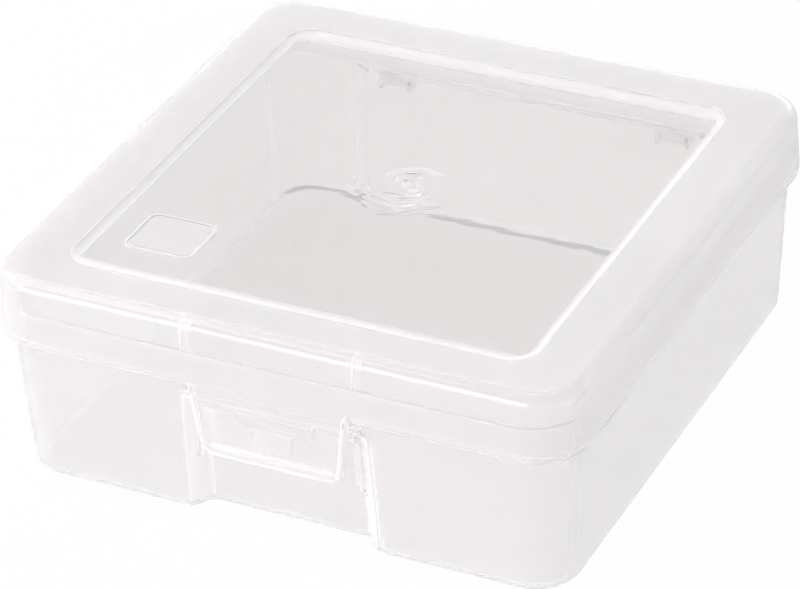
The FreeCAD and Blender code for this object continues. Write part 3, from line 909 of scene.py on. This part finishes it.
def mark_turns(piece):
    work = bmesh.new()
    work.from_mesh(piece.data)
    turns = [face for face in work.faces if seen_end_on(face)]
    for face in turns:
        if face.material_index < THICK:
            face.material_index = END_ON
    print(piece.name, len(turns), "faces lie on tight turns")
    work.to_mesh(piece.data)
    work.free()


mark_turns(lid)
mark_turns(tub)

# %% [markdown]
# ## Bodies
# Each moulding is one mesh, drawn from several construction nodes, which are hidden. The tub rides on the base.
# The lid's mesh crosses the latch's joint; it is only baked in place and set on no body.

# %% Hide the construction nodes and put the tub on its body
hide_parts("lid_frame", "lid_pane", "lid_gusset_left", "lid_gusset_right", "hinge_knuckle_left",
            "hinge_knuckle_right", "latch_tab", "latch_hook")
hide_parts("base_tub", "catch_ledge", "hinge_ear_inner_left", "hinge_ear_inner_right",
            "hinge_ear_outer_left", "hinge_ear_outer_right", "stacking_foot_front_left",
            "stacking_foot_front_right", "stacking_foot_rear_left", "stacking_foot_rear_right")
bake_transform(lid)
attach(tub, "base")

# %% [markdown]
# ## The table
# The case stands on a white paper table. To the camera and in reflections the paper is nearly plain white,
# as in a catalogue picture, and only a few hundredths of it still show the shadow. Seen through the plastic
# it is a little darker, as paper is that lies partly in the case's shade. Light that bounces sees the grey
# paper itself, so the white gives the case no extra light.

# %% The white table
STRAIGHT_GLOW, THROUGH_GLOW, THROUGH_SHADE = 0.97, 0.86, 0.12
TABLE_DROP = 0.2


def white_table():
    """Matt paper, white where the eye sees it straight or through the plastic: it gives an even ground."""
    material = bpy.data.materials.new("matt_white_paper")
    material.use_nodes = True
    tree = material.node_tree
    tree.nodes.clear()
    paper = add_node(tree, "ShaderNodeBsdfDiffuse", Color=linear("#DCDCDC"))
    glow = add_node(tree, "ShaderNodeEmission", Color=(1, 1, 1, 1), Strength=1.0)
    seen = tree.nodes.new("ShaderNodeLightPath")
    straight = add_node(tree, "ShaderNodeMath", {"operation": "MAXIMUM"}, _0=seen.outputs["Is Camera Ray"],
                        _1=seen.outputs["Is Glossy Ray"])
    bare = add_node(tree, "ShaderNodeMath", {"operation": "MULTIPLY"}, _0=straight.outputs[0],
                    _1=STRAIGHT_GLOW)
    share = add_node(tree, "ShaderNodeMath", {"operation": "MULTIPLY_ADD"},
                     _0=seen.outputs["Is Transmission Ray"], _1=THROUGH_GLOW, _2=bare.outputs[0])
    shaded = add_node(tree, "ShaderNodeMath", {"operation": "MULTIPLY_ADD"},
                      _0=seen.outputs["Is Transmission Ray"], _1=-THROUGH_SHADE, _2=1.0)
    tree.links.new(shaded.outputs[0], glow.inputs["Strength"])
    mixed = add_node(tree, "ShaderNodeMixShader", _0=share.outputs[0], _1=paper.outputs[0], _2=glow.outputs[0])
    out = tree.nodes.new("ShaderNodeOutputMaterial")
    tree.links.new(mixed.outputs[0], out.inputs["Surface"])
    return material


table_mesh = bpy.data.meshes.new("table")
# The table lies a hair below the feet, because two faces in one plane leave dark marks
table_mesh.from_pydata([(x, y, -TABLE_DROP * MM) for x, y in ((-4, -4), (4, -4), (4, 4), (-4, 4))], [],
                       [(0, 1, 2, 3)])
table_mesh.materials.append(white_table())
table = new_piece("table", table_mesh)
print("table", [round(v, 2) for v in table.dimensions], "m")

# %% [markdown]
# ## The light
# A translucent case needs light from all round, so the world is a tent: brightest at the horizon, darker
# overhead, so that the lid's flat top doesn't wash out, and slightly warm. Cool softboxes add the rest. A
# wide one low in front draws the bright line along the lid's rolled edge, one close by on the left makes
# that side the lighter one, and two at the rear shine through the case.

# %% The light tent
world = bpy.data.worlds.new("light_tent")
bpy.context.scene.world = world
world.use_nodes = True
tent = world.node_tree
tent.nodes.clear()
way = tent.nodes.new("ShaderNodeTexCoord").outputs["Generated"]
height = add_node(tent, "ShaderNodeSeparateXYZ", _0=way)
ramp = add_node(tent, "ShaderNodeMapRange", Value=height.outputs["Z"], From_Min=0.0, From_Max=1.0,
                To_Min=0.94, To_Max=0.62)
side = add_node(tent, "ShaderNodeMath", {"operation": "MULTIPLY_ADD"}, _0=height.outputs["X"], _1=0.12,
                _2=ramp.outputs[0])
sky = add_node(tent, "ShaderNodeBackground", Color=(1.0, 0.989, 0.966, 1), Strength=side.outputs[0])
out = tent.nodes.new("ShaderNodeOutputWorld")
tent.links.new(sky.outputs[0], out.inputs["Surface"])


def softbox(name, place, size, power):
    data = bpy.data.lights.new(name, "AREA")
    data.shape = "RECTANGLE"
    data.size, data.size_y = size
    data.energy = power
    data.color = (0.93, 0.87, 1.0)
    lamp = bpy.data.objects.new(name, data)
    bpy.context.scene.collection.objects.link(lamp)
    lamp.matrix_world = (Matrix.Translation(place)
                         @ (Vector((0, 0, 0.03)) - Vector(place)).to_track_quat("-Z", "Y").to_matrix().to_4x4())
    return lamp


softbox("low_front_softbox", (-0.50, -1.20, 0.26), (1.3, 0.7), 12)
softbox("high_left_softbox", (-0.50, -0.20, 0.50), (0.6, 0.6), 2.4)
softbox("rear_softbox", (-0.45, 0.64, 0.92), (0.9, 0.35), 2.0)
softbox("low_rear_softbox", (-0.35, 1.10, 0.22), (1.0, 0.3), 3.0)
lamps = [thing for thing in bpy.context.scene.objects if thing.type == "LIGHT"]
print(len(lamps), "softboxes,", round(sum(lamp.data.energy for lamp in lamps), 1), "W")

# %% [markdown]
# ## The camera
# A long lens about a metre away keeps the case's edges nearly parallel, as a product picture has them. A
# ray may cross a dozen skins on its way through the closed case, so it is allowed many bounces, and glossy
# blur stays off, because it would take light out of the plastic at each of them.

# %% Camera
camera_data = bpy.data.cameras.new("camera")
camera = new_piece("camera", camera_data)
camera_data.sensor_width = 36.0
camera_data.lens = 189.71
camera_data.clip_start = 0.1
camera_data.clip_end = 50.0
eye = Vector((428.60, -851.42, 624.31)) * MM
aim = Vector((-0.484, -6.120, 31.0)) * MM
facing = (aim - eye).to_track_quat("-Z", "Y") @ Matrix.Rotation(math.radians(-2.54), 4, "Z").to_quaternion()
camera.matrix_world = Matrix.Translation(eye) @ facing.to_matrix().to_4x4()
bpy.context.scene.camera = camera
print("camera", round((eye - aim).length, 2), "m away, lens", round(camera_data.lens, 1), "mm")

bpy.context.scene.view_settings.view_transform = "Standard"
bpy.context.scene.cycles.max_bounces = 32
bpy.context.scene.cycles.transmission_bounces = 32
bpy.context.scene.cycles.blur_glossy = 0.0
